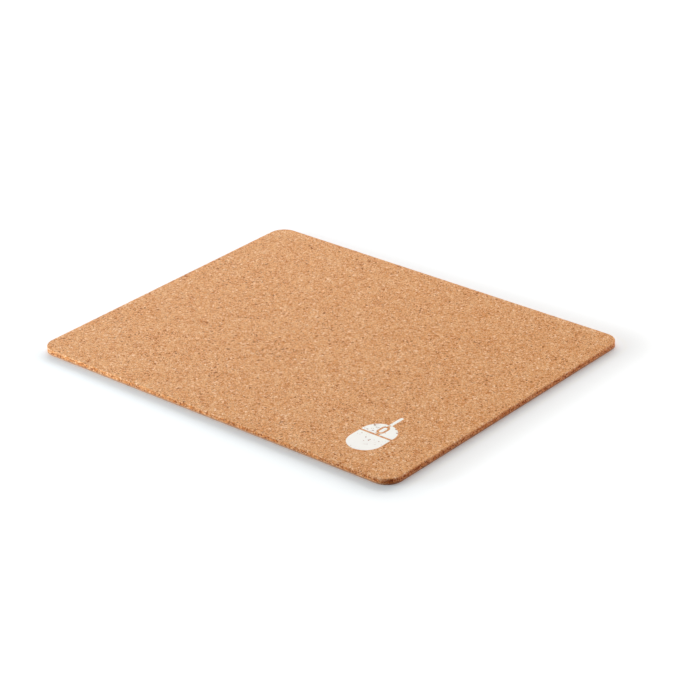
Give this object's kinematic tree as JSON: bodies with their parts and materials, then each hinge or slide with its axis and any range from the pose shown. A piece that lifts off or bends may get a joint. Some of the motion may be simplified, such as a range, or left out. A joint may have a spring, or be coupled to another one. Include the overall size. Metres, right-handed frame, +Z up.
{
  "type": "mouse pad",
  "caption": "Flat rectangular mouse pad with rounded corners, a pressed cork working face and a thin rubber grip backing.",
  "frame": {"origin": "centre of the face that lies on the desk", "axes": "+X along the long side, -Y towards the user, +Z up out of the working face"},
  "size_m": [0.22, 0.18, 0.003],
  "materials": {
    "cork": "pressed cork granules, sanded matt",
    "adhesive": "clear honey-coloured adhesive film",
    "backing_rubber": "matt brown rubber blended with crumbs of cork, its underside moulded into a fine waffle"
  },
  "bodies": {
    "root": {"cork_sheet": "cork", "bond_film": "adhesive", "grip_backing": "backing_rubber"}
  },
  "joints": []
}
